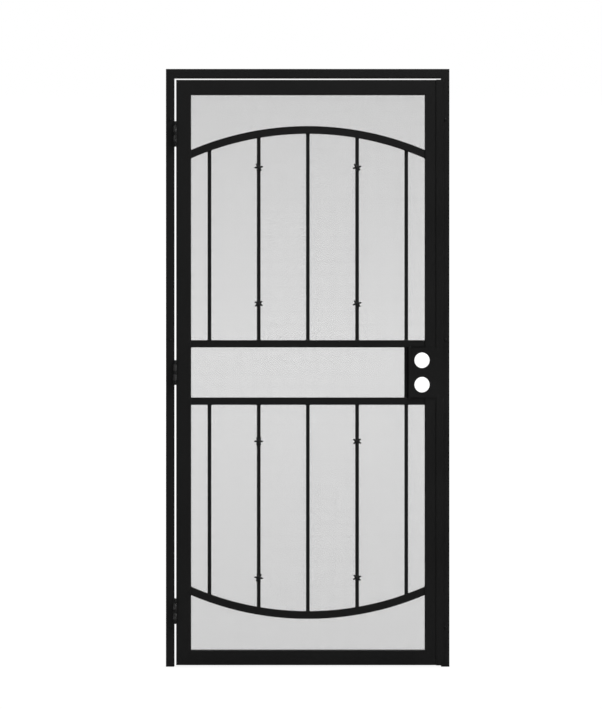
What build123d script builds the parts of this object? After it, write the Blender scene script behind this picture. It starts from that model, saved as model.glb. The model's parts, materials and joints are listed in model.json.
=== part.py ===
from build123d import *
import math
import os

# Steel security door: one outward swinging leaf in its own frame, hinges on the left
# as seen from outside. All sizes are in millimetres.
# +X runs to the strike side, +Y runs in to the wall, +Z runs up. The origin lies on the
# back of the hinge jamb, on the jamb's centre line, at its foot.

# Leaf
leaf_width = 914.4
leaf_height = 2032.0
leaf_depth = 31.75
stile_face = 50.8
rail_face = 50.8

# Frame round the leaf
jamb_face = 28.6
header_face = 30.8
frame_depth = 38.1
hinge_gap = 7.3
lock_gap = 5.9
top_gap = 7.6
foot_gap = 5.8
leaf_step = 5.2  # how far the leaf's face stands out in front of the frame's face

# Steel tube
tube_wall = 1.5
tube_corner = 2.4
picket_wall = 1.2
picket_corner = 1.2

# Grille, centred in the leaf's depth
grille_depth = 25.4  # of the arches and the middle rails
picket_size = 12.7
picket_count = 5
picket_end_place = 64.4  # from a stile to the middle of the nearest picket
middle_rail_face = 25.4
middle_rail_spacing = 199.6
arch_face = 25.4
arch_radius = 1036.0
arch_crown_gap = 160.3  # from the leaf's end to the arch's crown

# Cast stars on the front of the second and the fourth picket
star_points = 6
star_reach = 15.6
star_tip_width = 4.2
star_root_radius = 7.8  # to the root between two points
star_edge = 1.8
star_rise = 4.2
star_inner_place = 139.2  # from a middle rail's centre line to the nearer pair
star_outer_place = 142.7  # from the arch's crown to the further pair

# How far each star is turned from level, from the top one down
star_turns = {
    2: {"high": 8, "upper_middle": 35, "lower_middle": 0, "low": -8},
    4: {"high": 15, "upper_middle": 16, "lower_middle": 33, "low": 23},
}

# Lock box for two bored locks
lock_box_depth = 38.1
lock_box_wall = 2.0
lock_box_fold = 3.2  # outer radius of its bent edges
lock_bore_radius = 27.0
lock_bore_spacing = 84.8
lock_backset = 60.3
latch_hole_radius = 12.7
strike_slot_height = 38.1
strike_slot_width = 16.6

# Strip on the lock stile, which laps over the strike jamb
strip_width = 25.4
strip_thickness = 3.175
strip_lap = 7.4
strip_overrun = 0.5

# Hinges
hinge_end_place = 187.5  # from the leaf's end to the middle of the nearer hinge
knuckle_heights = (15.6, 20.8, 13.6, 20.8, 15.6)
knuckle_gap = 0.4
knuckle_radius = 6.75
knuckle_clearance = 0.7
pin_radius = 3.75
pin_clearance = 0.05
hinge_plate_thickness = 3.0
jamb_plate_depth = 32.0
door_plate_depth = 22.0

# Screw holes through both jambs
screw_hole_radius = 3.5
screw_foot_place = 135.0  # from the jamb's foot to the lowest hole
screw_middle_rise = 113.2  # from the leaf's middle up to the middle hole
screw_head_place = 176.2  # from the frame's top to the highest hole

# Insect screen and its frame behind the grille
screen_frame_face = 12.7
screen_frame_depth = 6.4
screen_rebate_width = 4.8
screen_rebate_depth = 3.2
screen_thickness = 0.5
screen_clearance = 0.3

# Places that follow from the sizes above
jamb_in = jamb_face / 2
leaf_left = jamb_in + hinge_gap
leaf_right = leaf_left + leaf_width
strike_in = leaf_right + lock_gap
strike_out = strike_in + jamb_face
leaf_low = foot_gap
leaf_high = leaf_low + leaf_height
leaf_middle = (leaf_low + leaf_high) / 2
leaf_centre = (leaf_left + leaf_right) / 2
header_low = leaf_high + top_gap
header_high = header_low + header_face
frame_front = -frame_depth
leaf_front = frame_front - leaf_step
leaf_back = leaf_front + leaf_depth
leaf_core = (leaf_front + leaf_back) / 2
opening_left = leaf_left + stile_face
opening_right = leaf_right - stile_face
opening_low = leaf_low + rail_face
opening_high = leaf_high - rail_face
upper_rail_middle = leaf_middle + middle_rail_spacing / 2
lower_rail_middle = leaf_middle - middle_rail_spacing / 2
arch_crown = leaf_high - arch_crown_gap
arch_centre = arch_crown - arch_radius
picket_first = opening_left + picket_end_place
picket_last = opening_right - picket_end_place
picket_pitch = (picket_last - picket_first) / (picket_count - 1)
picket_places = [picket_first + n * picket_pitch for n in range(picket_count)]
lock_box_left = picket_last + picket_size / 2
lock_box_low = lower_rail_middle + middle_rail_face / 2
lock_box_high = upper_rail_middle - middle_rail_face / 2
lock_box_front = leaf_front - strip_thickness
lock_box_back = lock_box_front + lock_box_depth
lock_core = (lock_box_front + lock_box_back) / 2
lock_bore_place = leaf_right - lock_backset
lock_bore_heights = [leaf_middle + side * lock_bore_spacing / 2 for side in (-1, 1)]
strip_right = strike_in + strip_lap
strip_left = strip_right - strip_width
star_seat = leaf_core - picket_size / 2
screw_heights = (screw_foot_place, leaf_middle + screw_middle_rise, header_high - screw_head_place)
hinge_heights = (leaf_low + hinge_end_place, leaf_middle, leaf_high - hinge_end_place)
barrel_height = sum(knuckle_heights)
hinge_axis_x = jamb_in + hinge_gap / 2
knuckle_reach = knuckle_radius + knuckle_clearance
hinge_axis_y = leaf_front - math.sqrt(knuckle_reach**2 - (hinge_gap / 2) ** 2)


def block(x0, x1, y0, y1, z0, z1):
    """A square-edged block between two opposite corners"""
    corner = (Align.MIN, Align.MIN, Align.MIN)
    return Pos(x0, y0, z0) * Box(x1 - x0, y1 - y0, z1 - z0, align=corner)


def tube_section(width, depth):
    """Section of a steel tube, rounded outside and square inside"""
    hollow = Rectangle(width - 2 * tube_wall, depth - 2 * tube_wall)
    return RectangleRounded(width, depth, tube_corner) - hollow


def upright(x0, x1, y0, y1, z0, z1):
    """A standing tube"""
    section = tube_section(x1 - x0, y1 - y0)
    foot = Plane.XY.offset(z0) * Pos((x0 + x1) / 2, (y0 + y1) / 2)
    return extrude(foot * section, z1 - z0)


def crossbar(x0, x1, y0, y1, z0, z1):
    """A tube that runs across the door"""
    section = tube_section(y1 - y0, z1 - z0)
    end = Plane.YZ.offset(x0) * Pos((y0 + y1) / 2, (z0 + z1) / 2)
    return extrude(end * section, x1 - x0)


def mitred(bar, outer, inner, kept):
    """Trim a bar on the plane through two corners of its end

    The corners and a place on the kept side are (x, z) pairs.
    """
    normal = Vector(inner[1] - outer[1], 0, outer[0] - inner[0])
    side = Vector(kept[0] - outer[0], 0, kept[1] - outer[1])
    if side.dot(normal) < 0:
        normal = -normal
    mitre = Plane(origin=(outer[0], 0, outer[1]), x_dir=(0, 1, 0), z_dir=normal)
    return split(bar, bisect_by=mitre, keep=Keep.TOP)


def rod(x, y, z0, z1, radius):
    """A standing cylinder"""
    base = (Align.CENTER, Align.CENTER, Align.MIN)
    return Pos(x, y, z0) * Cylinder(radius, z1 - z0, align=base)


def drill(x, z, y0, y1, radius):
    """A cylinder that runs through the door from y0 to y1"""
    return Pos(x, (y0 + y1) / 2, z) * Rot(90, 0, 0) * Cylinder(radius, y1 - y0)


def in_middle(kept):
    """The middle of the doorway, as an (x, z) pair at the height of a kept bar"""
    return (leaf_centre, kept)


def jamb(inside, outside):
    """One side of the frame, mitred to the header and drilled for its screws"""
    x0 = min(inside, outside)
    x1 = max(inside, outside)
    bar = upright(x0, x1, frame_front, 0, 0, header_high)
    bar = mitred(bar, (outside, header_high), (inside, header_low), (inside, 0))
    for height in screw_heights:
        bar -= drill((x0 + x1) / 2, height, frame_front - 1, 1, screw_hole_radius)
    return bar


def strike_jamb():
    """The jamb on the lock side, with a slot for each latch in its inner wall"""
    bar = jamb(strike_in, strike_out)
    for height in lock_bore_heights:
        slot = Rot(0, 0, 90) * SlotOverall(strike_slot_height, strike_slot_width)
        mouth = Plane.YZ.offset(strike_in - 1) * Pos(lock_core, height)
        bar -= extrude(mouth * slot, tube_wall + 2)
    return bar


def header():
    """The top of the frame, mitred to both jambs"""
    left_out = -jamb_in
    bar = crossbar(left_out, strike_out, frame_front, 0, header_low, header_high)
    middle = in_middle(header_high)
    bar = mitred(bar, (left_out, header_high), (jamb_in, header_low), middle)
    return mitred(bar, (strike_out, header_high), (strike_in, header_low), middle)


def hinge_stile():
    """The hinge side of the leaf, mitred to its top and bottom rail"""
    bar = upright(leaf_left, opening_left, leaf_front, leaf_back, leaf_low, leaf_high)
    top = (opening_left, leaf_high)
    foot = (opening_left, leaf_low)
    bar = mitred(bar, (leaf_left, leaf_high), (opening_left, opening_high), foot)
    return mitred(bar, (leaf_left, leaf_low), (opening_left, opening_low), top)


def lock_stile(outside, inside, stop):
    """The lock side of the leaf between one end and the lock box, mitred to its rail"""
    z0 = min(outside, stop)
    z1 = max(outside, stop)
    bar = upright(opening_right, leaf_right, leaf_front, leaf_back, z0, z1)
    return mitred(bar, (leaf_right, outside), (opening_right, inside), (opening_right, stop))


def rail(outside, inside):
    """The top or the bottom rail of the leaf, mitred to both stiles"""
    z0 = min(inside, outside)
    z1 = max(inside, outside)
    bar = crossbar(leaf_left, leaf_right, leaf_front, leaf_back, z0, z1)
    middle = in_middle(outside)
    bar = mitred(bar, (leaf_left, outside), (opening_left, inside), middle)
    return mitred(bar, (leaf_right, outside), (opening_right, inside), middle)


def middle_rail(height):
    """A square tube across the leaf, above or below the lock box"""
    half = middle_rail_face / 2
    front = leaf_core - grille_depth / 2
    back = leaf_core + grille_depth / 2
    return crossbar(opening_left, opening_right, front, back, height - half, height + half)


def arch_disc(radius, depth):
    """A disc about the centre of the top arch"""
    return Pos(leaf_centre, leaf_core, arch_centre) * Rot(90, 0, 0) * Cylinder(radius, depth)


def top_arch():
    """A bent square tube from stile to stile, under the top rail"""
    inner_radius = arch_radius - arch_face
    skin = arch_disc(arch_radius, grille_depth) - arch_disc(inner_radius, grille_depth)
    hollow_depth = grille_depth - 2 * tube_wall
    hollow = arch_disc(arch_radius - tube_wall, hollow_depth)
    hollow -= arch_disc(inner_radius + tube_wall, hollow_depth)
    span = block(
        opening_left, opening_right, leaf_front, leaf_back, leaf_middle, leaf_high
    )
    return (skin - hollow) & span


def arch_height(x):
    """The height of the top arch's inner curve"""
    return arch_centre + math.sqrt((arch_radius - arch_face) ** 2 - (x - leaf_centre) ** 2)


def picket(x, z0, z1):
    """A standing square tube of the grille, with its corners cut off at a slant"""
    outside = chamfer(Rectangle(picket_size, picket_size).vertices(), picket_corner)
    hollow_size = picket_size - 2 * picket_wall
    foot = Plane.XY.offset(z0) * Pos(x, leaf_core)
    return extrude(foot * (outside - Rectangle(hollow_size, hollow_size)), z1 - z0)


def upper_picket(x):
    """A picket from the upper middle rail to the top arch, cut straight to its slope"""
    half = picket_size / 2
    low = upper_rail_middle + middle_rail_face / 2
    bar = picket(x, low, arch_crown)
    left = (x - half, arch_height(x - half))
    right = (x + half, arch_height(x + half))
    return mitred(bar, left, right, (x, low))


def lock_picket():
    """The short picket that closes the lock box's left side"""
    return picket(picket_last, lock_box_low, lock_box_high)


def below(shape):
    """The same piece in the lower half of the leaf"""
    return mirror(shape, about=Plane.XY.offset(leaf_middle))


def star(x, z, turn):
    """A cast star with a flat back, whose facets rise from every point and root to its middle"""
    point = 360 / star_points
    corners = []
    for number in range(star_points):
        middle = turn + number * point
        corners.append(Vector(star_reach, -star_tip_width / 2).rotate(Axis.Z, middle))
        corners.append(Vector(star_reach, star_tip_width / 2).rotate(Axis.Z, middle))
        corners.append(Vector(star_root_radius, 0).rotate(Axis.Z, middle + point / 2))
    outline = make_face(Polyline(*corners, close=True))
    body = extrude(outline, star_edge)
    body += loft([Pos(0, 0, star_edge) * outline, Vertex(0, 0, star_edge + star_rise)], ruled=True)
    seat = Plane(origin=(x, star_seat, z), x_dir=(1, 0, 0), z_dir=(0, -1, 0))
    return seat * body


def lock_box():
    """A folded box for two bored locks, with a lip that laps over the strike jamb"""
    front = lock_box_front
    back = lock_box_back
    wall = lock_box_wall
    outline = FilletPolyline(
        (leaf_right, leaf_front),
        (leaf_right, back),
        (lock_box_left, back),
        (lock_box_left, front),
        (strip_right, front),
        radius=lock_box_fold,
    )
    outline += Polyline((strip_right, front), (strip_right, leaf_front), (leaf_right, leaf_front))
    height = lock_box_high - lock_box_low
    body = extrude(Plane.XY.offset(lock_box_low) * make_face(outline), height)
    body -= block(
        lock_box_left + wall, leaf_right - wall, front + wall, back - wall,
        lock_box_low + wall, lock_box_high - wall,
    )
    for bore_height in lock_bore_heights:
        body -= drill(lock_bore_place, bore_height, front - 1, back + 1, lock_bore_radius)
        latch_hole = Rot(0, 90, 0) * Cylinder(latch_hole_radius, 4 * wall)
        body -= Pos(leaf_right, lock_core, bore_height) * latch_hole
    return body


def lock_strip(z0, z1):
    """A flat bar on the lock stile, flush with the lock box, that laps over the strike jamb"""
    return block(strip_left, strip_right, lock_box_front, leaf_front, z0, z1)


def knuckle_span(number, foot):
    """The bottom and the top of one knuckle of the barrel that stands on foot"""
    low = foot + sum(knuckle_heights[:number])
    high = low + knuckle_heights[number]
    if number > 0:
        low += knuckle_gap / 2
    if number < len(knuckle_heights) - 1:
        high -= knuckle_gap / 2
    return low, high


def hinge_half(height, side, numbers, plate_depth):
    """Knuckles and plate of one hinge half: side is -1 on the jamb and 1 on the leaf"""
    foot = height - barrel_height / 2
    face = hinge_axis_x + side * hinge_gap / 2
    x0 = min(face, face - side * hinge_plate_thickness)
    x1 = x0 + hinge_plate_thickness
    plate_front = hinge_axis_y + knuckle_reach
    body = block(
        x0, x1, plate_front, plate_front + plate_depth, foot, foot + barrel_height
    )
    for number in numbers:
        low, high = knuckle_span(number, foot)
        body += rod(hinge_axis_x, hinge_axis_y, low, high, knuckle_radius)
        body += block(x0, x1, hinge_axis_y, plate_front, low, high)
    bore = pin_radius + pin_clearance
    return body - rod(hinge_axis_x, hinge_axis_y, foot - 1, foot + barrel_height + 1, bore)


def hinge_pin(height):
    """The pin of one hinge, flush with both ends of the barrel"""
    half = barrel_height / 2
    return rod(hinge_axis_x, hinge_axis_y, height - half, height + half, pin_radius)


def screen_windows():
    """The three openings that the screen fills, as (x0, x1, z0, z1)"""
    half = middle_rail_face / 2
    beside_lock = picket_last - picket_size / 2
    return [
        (opening_left, opening_right, opening_low, lower_rail_middle - half),
        (opening_left, beside_lock, lower_rail_middle + half, upper_rail_middle - half),
        (opening_left, opening_right, upper_rail_middle + half, opening_high),
    ]


def screen_frame():
    """A flat frame behind the grille with a rebated window for each panel of screen"""
    face = screen_frame_face
    back = leaf_back + screen_frame_depth
    body = block(
        opening_left - face, opening_right + face, leaf_back, back,
        opening_low - face, opening_high + face,
    )
    for x0, x1, z0, z1 in screen_windows():
        body -= block(x0, x1, leaf_back - 1, back + 1, z0, z1)
        r = screen_rebate_width
        body -= block(x0 - r, x1 + r, back - screen_rebate_depth, back + 1, z0 - r, z1 + r)
    body -= block(
        lock_box_left - screen_clearance, opening_right + face + 1, leaf_back - 1, back + 1,
        lock_box_low - screen_clearance, lock_box_high + screen_clearance,
    )
    return body


def screen_panels():
    """The screen's three panels, each seated in its rebate"""
    seat = leaf_back + screen_frame_depth - screen_rebate_depth
    r = screen_rebate_width - screen_clearance
    panels = [
        block(x0 - r, x1 + r, seat, seat + screen_thickness, z0 - r, z1 + r)
        for x0, x1, z0, z1 in screen_windows()
    ]
    return Compound(children=panels)


def save(name, shape):
    """Write one named piece"""
    shape.label = name
    export_step(shape, f"parts/{name}.step")


os.makedirs("parts", exist_ok=True)

save("hinge_jamb", jamb(jamb_in, -jamb_in))
save("strike_jamb", strike_jamb())
save("header", header())

save("hinge_stile", hinge_stile())
save("upper_lock_stile", lock_stile(leaf_high, opening_high, lock_box_high))
save("lower_lock_stile", lock_stile(leaf_low, opening_low, lock_box_low))
save("top_rail", rail(leaf_high, opening_high))
save("bottom_rail", rail(leaf_low, opening_low))
save("upper_middle_rail", middle_rail(upper_rail_middle))
save("lower_middle_rail", middle_rail(lower_rail_middle))
save("top_arch", top_arch())
save("bottom_arch", below(top_arch()))

for number, place in enumerate(picket_places, start=1):
    save(f"upper_picket_{number}", upper_picket(place))
    save(f"lower_picket_{number}", below(upper_picket(place)))
save("lock_picket", lock_picket())

star_heights = {
    "high": arch_crown - star_outer_place,
    "upper_middle": upper_rail_middle + star_inner_place,
    "lower_middle": lower_rail_middle - star_inner_place,
    "low": 2 * leaf_middle - arch_crown + star_outer_place,
}
for number, turns in star_turns.items():
    for name, turn in turns.items():
        save(f"{name}_star_{number}", star(picket_places[number - 1], star_heights[name], turn))

save("lock_box", lock_box())
save("lower_lock_strip", lock_strip(leaf_low - strip_overrun, lock_box_low))
save("upper_lock_strip", lock_strip(lock_box_high, leaf_high + strip_overrun))

for name, height in zip(("bottom", "middle", "top"), hinge_heights):
    save(f"{name}_jamb_hinge", hinge_half(height, -1, (0, 2, 4), jamb_plate_depth))
    save(f"{name}_leaf_hinge", hinge_half(height, 1, (1, 3), door_plate_depth))
    save(f"{name}_hinge_pin", hinge_pin(height))

save("screen_frame", screen_frame())
save("screen", screen_panels())
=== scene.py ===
# %% [markdown]
# # A black steel security door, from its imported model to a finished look
# The door's true shape comes from a CAD model: tubes, grille, hinges, lock box and frame.
# Blender adds what a CAD model leaves out: the coat on the steel, the weld beads, the wires
# of the insect screen, its spline and its screws. Everything is in metres and in the CAD
# model's own frame, so each new piece goes where the model says: X runs to the lock side,
# Y runs in to the wall and Z runs up.

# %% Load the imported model
import json
import math

import bmesh
import bpy
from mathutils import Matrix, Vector


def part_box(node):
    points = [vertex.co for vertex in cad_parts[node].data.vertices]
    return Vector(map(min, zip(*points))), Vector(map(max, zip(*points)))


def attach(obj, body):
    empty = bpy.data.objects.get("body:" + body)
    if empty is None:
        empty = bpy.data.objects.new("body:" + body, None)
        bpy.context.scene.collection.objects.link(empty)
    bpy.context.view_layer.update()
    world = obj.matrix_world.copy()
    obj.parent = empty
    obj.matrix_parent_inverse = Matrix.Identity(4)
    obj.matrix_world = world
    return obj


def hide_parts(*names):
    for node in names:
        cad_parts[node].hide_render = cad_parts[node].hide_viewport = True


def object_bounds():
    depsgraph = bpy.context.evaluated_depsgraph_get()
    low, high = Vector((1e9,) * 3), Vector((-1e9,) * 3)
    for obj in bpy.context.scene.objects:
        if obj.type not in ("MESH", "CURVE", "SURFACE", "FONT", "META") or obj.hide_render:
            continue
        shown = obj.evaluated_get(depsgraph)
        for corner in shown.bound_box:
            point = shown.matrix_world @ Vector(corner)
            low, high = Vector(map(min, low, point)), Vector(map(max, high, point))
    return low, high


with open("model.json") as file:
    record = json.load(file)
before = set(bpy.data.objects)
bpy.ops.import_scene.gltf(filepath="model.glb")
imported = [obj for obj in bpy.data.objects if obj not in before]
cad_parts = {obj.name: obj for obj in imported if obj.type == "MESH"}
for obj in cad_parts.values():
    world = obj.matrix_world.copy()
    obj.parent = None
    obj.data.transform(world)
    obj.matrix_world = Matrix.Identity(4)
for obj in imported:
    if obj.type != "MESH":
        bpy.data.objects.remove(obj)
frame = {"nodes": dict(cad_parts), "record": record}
cad_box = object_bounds()
record = frame["record"]
MM = 0.001

print("the door's box in metres", [tuple(round(c, 4) for c in corner) for corner in cad_box])

# %% [markdown]
# ## Camera
# The photograph is taken square on, with the lens level with the middle of the picture, so
# every upright edge stays upright. A long lens from ten metres gives that flat look. The
# lens could be set by trial, but it follows from how much of the door's front plane the
# picture covers: sensor over focal length is the same as picture height over distance.

# %% Set up the camera
PIXEL = 3.471 * MM  # what one pixel of the picture covers on the door's front plane
PICTURE_HEIGHT = 709 * PIXEL  # the picture is 602 pixels wide and 709 high
PICTURE_MIDDLE = 0.4549  # where the middle of the picture lies along X
EYE_HEIGHT = 1.0843
CAMERA_DISTANCE = 10.0
SENSOR = 36.0  # millimetres along the picture's longer side, which is its height
FARTHEST_SEEN = 500.0
door_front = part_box("top_rail")[0].y

camera_data = bpy.data.cameras.new("camera")
camera_data.sensor_width = SENSOR
camera_data.lens = SENSOR * CAMERA_DISTANCE / PICTURE_HEIGHT
camera_data.clip_end = FARTHEST_SEEN
camera = bpy.data.objects.new("camera", camera_data)
camera.location = (PICTURE_MIDDLE, door_front - CAMERA_DISTANCE, EYE_HEIGHT)
camera.rotation_euler = (math.radians(90), 0, 0)
bpy.context.scene.collection.objects.link(camera)
bpy.context.scene.camera = camera

print("focal length", round(camera_data.lens, 1), "mm on a", SENSOR, "mm sensor")

# %% [markdown]
# ## Helpers for node trees
# Shader nodes and Geometry Nodes are both trees of nodes joined by links, and get long in a
# script. One helper adds a node and fills its sockets with values or with links, and one
# starts a group with named inputs and outputs.

# %% Define the tree helpers
def put(tree, kind, inputs=None, **settings):
    """Add a node to a tree, with its settings and what goes into its sockets"""
    node = tree.nodes.new(kind)
    for name, value in settings.items():
        setattr(node, name, value)
    for key, value in (inputs or {}).items():
        if isinstance(value, bpy.types.NodeSocket):
            tree.links.new(value, node.inputs[key])
        else:
            node.inputs[key].default_value = value
    return node


def start_group(name, tree_kind, inputs, outputs):
    """Start a node group whose inputs are (name, type, value) and outputs (name, type)"""
    tree = bpy.data.node_groups.new(name, tree_kind)
    for label, kind, value in inputs:
        socket = tree.interface.new_socket(label, in_out="INPUT", socket_type="NodeSocket" + kind)
        if value is not None:
            socket.default_value = value
    for label, kind in outputs:
        tree.interface.new_socket(label, in_out="OUTPUT", socket_type="NodeSocket" + kind)
    return tree, tree.nodes.new("NodeGroupInput").outputs, tree.nodes.new("NodeGroupOutput")


def socket_names(tree):
    """The names of a group's inputs and outputs, in one line"""
    return ", ".join(item.name for item in tree.interface.items_tree)


print("tree helpers ready")

# %% [markdown]
# The nodes that come most often have helpers of their own.

# %% Define the node helpers
def math_node(tree, operation, *values):
    """One sum of a node tree, as its output socket"""
    return put(tree, "ShaderNodeMath", dict(enumerate(values)), operation=operation).outputs[0]


def remap(tree, value, low, high, to_low=0.0, to_high=1.0):
    """Stretch the values between low and high over another range, and clamp the rest"""
    sockets = {"Value": value, "From Min": low, "From Max": high, "To Min": to_low, "To Max": to_high}
    return put(tree, "ShaderNodeMapRange", sockets).outputs["Result"]


def on_object(tree):
    """The place of a spot in its object's own coordinates"""
    return put(tree, "ShaderNodeTexCoord").outputs["Object"]


def noise(tree, place, scale, detail):
    """Cloudy noise over a place"""
    sockets = {"Vector": place, "Scale": scale, "Detail": detail}
    return put(tree, "ShaderNodeTexNoise", sockets).outputs[0]


print("node helpers ready")

# %% [markdown]
# ## What the coats have in common
# The steel is powder coated: dry powder is baked until it flows into a thin satin skin. Up
# close the skin has a fine orange peel, and from further off its tone is never quite even.
# A picture of paint would need a map of each piece, and noise on Object coordinates needs
# none. Every coated piece has it, so it is one node group that each material places with
# its own sizes. A group only gives out heights and masks.

# %% Build the group for the skin of a coat
NOISE_RANGE = (0.3, 0.7)  # most of what a noise gives lies between these


def coat_skin_group():
    """Fine peel as a height, and a slow cloudy tone"""
    tree, inputs, leave = start_group(
        "coat_skin", "ShaderNodeTree",
        [("Peel Scale", "Float", 600.0), ("Grit Scale", "Float", 2600.0),
         ("Grit Share", "Float", 0.25), ("Cloud Scale", "Float", 3.0)],
        [("Height", "Float"), ("Tone", "Float")],
    )
    place = on_object(tree)
    peel = noise(tree, place, inputs["Peel Scale"], 1.0)
    grit = noise(tree, place, inputs["Grit Scale"], 0.0)
    share = math_node(tree, "MULTIPLY", grit, inputs["Grit Share"])
    cloud = noise(tree, place, inputs["Cloud Scale"], 3.0)
    tree.links.new(math_node(tree, "ADD", peel, share), leave.inputs["Height"])
    tree.links.new(remap(tree, cloud, *NOISE_RANGE), leave.inputs["Tone"])
    return tree


coat_skin = coat_skin_group()
print("coat_skin has", socket_names(coat_skin))

# %% [markdown]
# ## Thin coat and painted highlight on the edges
# Powder pulls back from a sharp edge as it melts, and the arrises are painted a touch lighter
# than the flats beside them: partly for that thin coat, and partly as a painted highlight,
# the light that a rounded edge would catch. Painting each edge by hand would be lost with the
# next change of shape.
# The Bevel node finds the edges by itself: it turns the normal near them, and how far it
# turns is the mask. A noise breaks the line up, because an even outline looks drawn.

# %% Build the group for thin coat and painted highlight on edges
FLAT, ARRIS = 0.98, 0.8  # the cosine of the normal's turn on a flat and on an edge
EDGE_PATCHES = (0.35, 0.65)  # narrower than NOISE_RANGE, so the patches are firmer
FAINTEST_EDGE = 0.3


def thin_coat_and_sheen_edges_group():
    """A mask that is 1 on sharp edges and 0 on the flats, for the thin coat and painted highlight"""
    tree, inputs, leave = start_group(
        "thin_edges", "ShaderNodeTree",
        [("Radius", "Float", 0.0012), ("Break Scale", "Float", 60.0)],
        [("Mask", "Float")],
    )
    soft = put(tree, "ShaderNodeBevel", {"Radius": inputs["Radius"]}, samples=4).outputs["Normal"]
    true = put(tree, "ShaderNodeNewGeometry").outputs["Normal"]
    turn = put(tree, "ShaderNodeVectorMath", {0: soft, 1: true}, operation="DOT_PRODUCT")
    edge = remap(tree, turn.outputs["Value"], FLAT, ARRIS)
    broken = noise(tree, on_object(tree), inputs["Break Scale"], 3.0)
    patches = remap(tree, broken, *EDGE_PATCHES, FAINTEST_EDGE)
    tree.links.new(math_node(tree, "MULTIPLY", edge, patches), leave.inputs["Mask"])
    return tree


thin_edges = thin_coat_and_sheen_edges_group()
print("thin_edges has", socket_names(thin_edges))

# %% [markdown]
# ## Dust
# A door that has stood for a day has a trace of dust on every ledge. It could be scattered
# as grains, but at this size only its tone shows. Dust lies where the surface faces up, so
# the mask reads the upward share of the normal, broken up with noise.

# %% Build the group for dust
SLOPE, LEDGE = 0.6, 0.98  # the upward share of the normal where dust starts and where it is full
DUST_PATCHES = (0.35, 0.7)


def settled_dust_group():
    """A mask that is strongest on surfaces that face up"""
    tree, inputs, leave = start_group(
        "settled_dust", "ShaderNodeTree",
        [("Patch Scale", "Float", 40.0)],
        [("Mask", "Float")],
    )
    normal = put(tree, "ShaderNodeNewGeometry").outputs["Normal"]
    upward = put(tree, "ShaderNodeSeparateXYZ", {0: normal}).outputs["Z"]
    ledge = remap(tree, upward, SLOPE, LEDGE)
    uneven = noise(tree, on_object(tree), inputs["Patch Scale"], 4.0)
    patches = remap(tree, uneven, *DUST_PATCHES)
    tree.links.new(math_node(tree, "MULTIPLY", ledge, patches), leave.inputs["Mask"])
    return tree


settled_dust = settled_dust_group()
print("settled_dust has", socket_names(settled_dust))

# %% [markdown]
# ## Helpers for materials
# A material places the groups, mixes colours by their masks, and feeds its own Principled
# shader. These helpers do the parts that every material here shares.

# %% Define the material helpers
DUST = (0.20, 0.19, 0.17)


def new_material(name, colour):
    """A material with its node tree and its shader"""
    material = bpy.data.materials.new(name)
    material.use_nodes = True
    material.diffuse_color = (*colour, 1.0)
    return material, material.node_tree, material.node_tree.nodes["Principled BSDF"]


def group_node(tree, group, inputs=None):
    """Place a shared group in a material"""
    return put(tree, "ShaderNodeGroup", inputs, node_tree=group).outputs


def blend_colours(tree, share, first, second):
    """Mix two colours, each a value or a socket"""
    node = put(tree, "ShaderNodeMix", {0: share}, data_type="RGBA")
    for socket, colour in ((node.inputs[6], first), (node.inputs[7], second)):
        if isinstance(colour, bpy.types.NodeSocket):
            tree.links.new(colour, socket)
        else:
            socket.default_value = (*colour, 1.0)
    return node.outputs[2]


def toned(colour, factor, lift=0.0):
    """A colour made darker or lighter by a factor, then lifted"""
    return tuple(c * factor + lift for c in colour)


def raise_bump(tree, shader, height, depth):
    """Use a height as bump, at a depth in millimetres"""
    bump = put(tree, "ShaderNodeBump", {"Distance": depth * MM, "Height": height})
    tree.links.new(bump.outputs["Normal"], shader.inputs["Normal"])


print("material helpers ready")

# %% [markdown]
# ## The coats themselves
# All the steel is one black, but the tubes, the castings, the hinges and the welds take the
# coat differently, so one function makes each of them from its own numbers. Black paint is
# not a metal, so Metallic stays at 0. The knuckles of the leaf have the smoothest, glossiest
# coat, and their colour is painted paler than the black as a painted highlight, which adds to
# the stripe of light that they catch.

# %% Make the coated finishes
BLACK = (0.0085, 0.0085, 0.0085)
COAT_TONES = (0.86, 1.14)  # the darkest and the lightest cloud in a coat
# Edges are painted lighter: partly a thin coat, partly a painted highlight where a rounded edge would
# catch the light
THIN_COAT_AND_SHEEN_TONE, THIN_COAT_AND_SHEEN_LIFT = 1.9, 0.004  # what a thin coat does to the colour
COAT_SWING = 0.03  # how far the clouds take the roughness either way
COAT_DUST = 0.12
DUST_DULLS = 0.25


def coated(name, colour, roughness, peel=0.02, peel_scale=600.0, grit=0.25, edge=0.3, shine=0.3):
    """A satin coat: peel is its bump in millimetres, and edge is how strongly the lighter edges, partly a
    painted highlight, show
    """
    material, tree, shader = new_material(name, colour)
    skin = group_node(tree, coat_skin, {"Peel Scale": peel_scale, "Grit Share": grit})
    edges = group_node(tree, thin_edges)["Mask"]
    ledges = group_node(tree, settled_dust)["Mask"]

    base = blend_colours(tree, skin["Tone"], *(toned(colour, tone) for tone in COAT_TONES))
    thin = toned(colour, THIN_COAT_AND_SHEEN_TONE, THIN_COAT_AND_SHEEN_LIFT)
    # Painted highlight in part: the lighter colour laid on the edges
    base = blend_colours(tree, math_node(tree, "MULTIPLY", edges, edge), base, thin)
    base = blend_colours(tree, math_node(tree, "MULTIPLY", ledges, COAT_DUST), base, DUST)
    tree.links.new(base, shader.inputs["Base Color"])

    gloss = remap(tree, skin["Tone"], 0.0, 1.0, roughness - COAT_SWING, roughness + COAT_SWING)
    dusty = math_node(tree, "MULTIPLY_ADD", ledges, DUST_DULLS, gloss)
    tree.links.new(dusty, shader.inputs["Roughness"])
    raise_bump(tree, shader, skin["Height"], peel)
    shader.inputs["Specular IOR Level"].default_value = shine
    return material


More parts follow.
